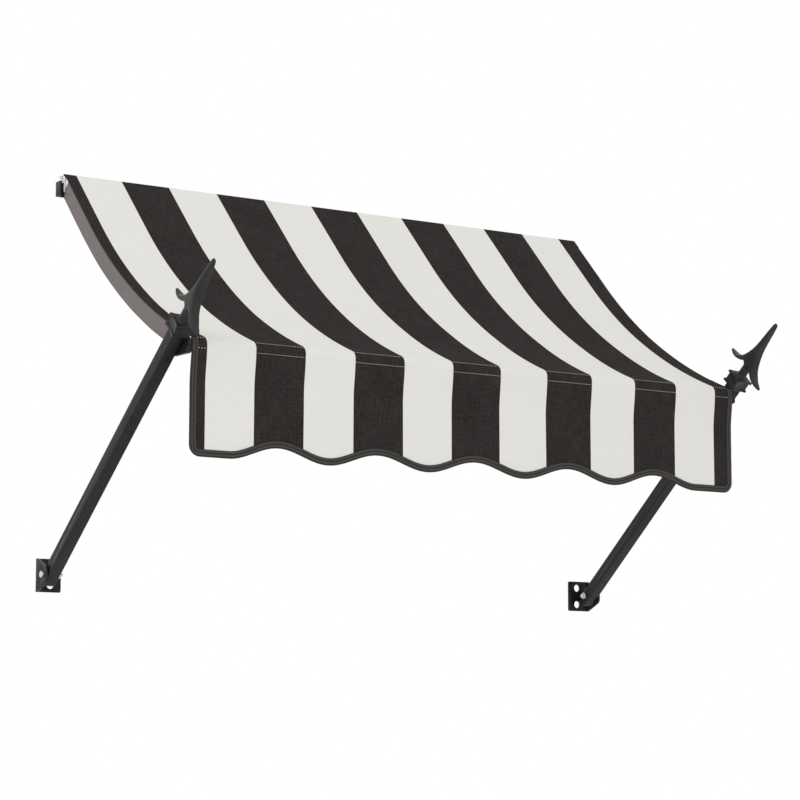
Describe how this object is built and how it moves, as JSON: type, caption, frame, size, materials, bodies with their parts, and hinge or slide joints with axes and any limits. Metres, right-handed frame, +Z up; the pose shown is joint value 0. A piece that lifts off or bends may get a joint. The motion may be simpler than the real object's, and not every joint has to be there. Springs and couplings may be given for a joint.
{
  "type": "fabric awning",
  "caption": "Striped fabric awning with a hollow slope and a wavy valance, held out from a wall by square arms with pointed finials.",
  "frame": {"origin": "the middle of the head rail's back, on the wall plane", "axes": "+X along the wall, +Y into the wall, +Z up; the awning stands out toward -Y"},
  "size_m": [1.0878, 0.5317, 0.6647],
  "materials": {
    "canopy_cloth": "matt woven acrylic, broad dark and pale stripes",
    "braid": "matt black braid",
    "sleeve_cloth": "matt woven acrylic",
    "hem_cord": "matt cord",
    "head_rail": "satin anodised",
    "frame_tube": "satin",
    "black_coat": "satin black powder coat",
    "zinc": "zinc plated"
  },
  "bodies": {
    "frame": {"head_rail": "head_rail", "keder_cord": "hem_cord", "canopy": "canopy_cloth", "valance_binding": "braid", "bar_pocket": "sleeve_cloth", "front_bar": "frame_tube", "left_rafter": "frame_tube", "left_top_bracket": "black_coat", "left_end_bracket": "black_coat", "left_upper_bolt": "zinc", "left_upper_nut": "zinc", "right_rafter": "frame_tube", "right_top_bracket": "black_coat", "right_end_bracket": "black_coat", "right_upper_bolt": "zinc", "right_upper_nut": "zinc"},
    "left_arm": {"left_arm": "black_coat", "left_collar": "black_coat", "left_finial": "black_coat"},
    "left_foot": {"left_lower_bracket": "black_coat", "left_pivot_bolt": "zinc", "left_pivot_nut": "zinc"},
    "right_arm": {"right_arm": "black_coat", "right_collar": "black_coat", "right_finial": "black_coat"},
    "right_foot": {"right_lower_bracket": "black_coat", "right_pivot_bolt": "zinc", "right_pivot_nut": "zinc"}
  },
  "joints": [
    {"name": "left_arm_swing", "type": "hinge", "parent": "frame", "child": "left_arm", "pos_m": [-0.526, -0.40108, -0.32112], "axis": [1, 0, 0], "range_deg": [-110, 0]},
    {"name": "left_foot_turn", "type": "hinge", "parent": "left_arm", "child": "left_foot", "pos_m": [-0.526, -0.026, -0.6325], "axis": [1, 0, 0], "range_deg": [-110, 65]},
    {"name": "right_arm_swing", "type": "hinge", "parent": "frame", "child": "right_arm", "pos_m": [0.526, -0.40108, -0.32112], "axis": [1, 0, 0], "range_deg": [-110, 0]},
    {"name": "right_foot_turn", "type": "hinge", "parent": "right_arm", "child": "right_foot", "pos_m": [0.526, -0.026, -0.6325], "axis": [1, 0, 0], "range_deg": [-110, 65]}
  ]
}
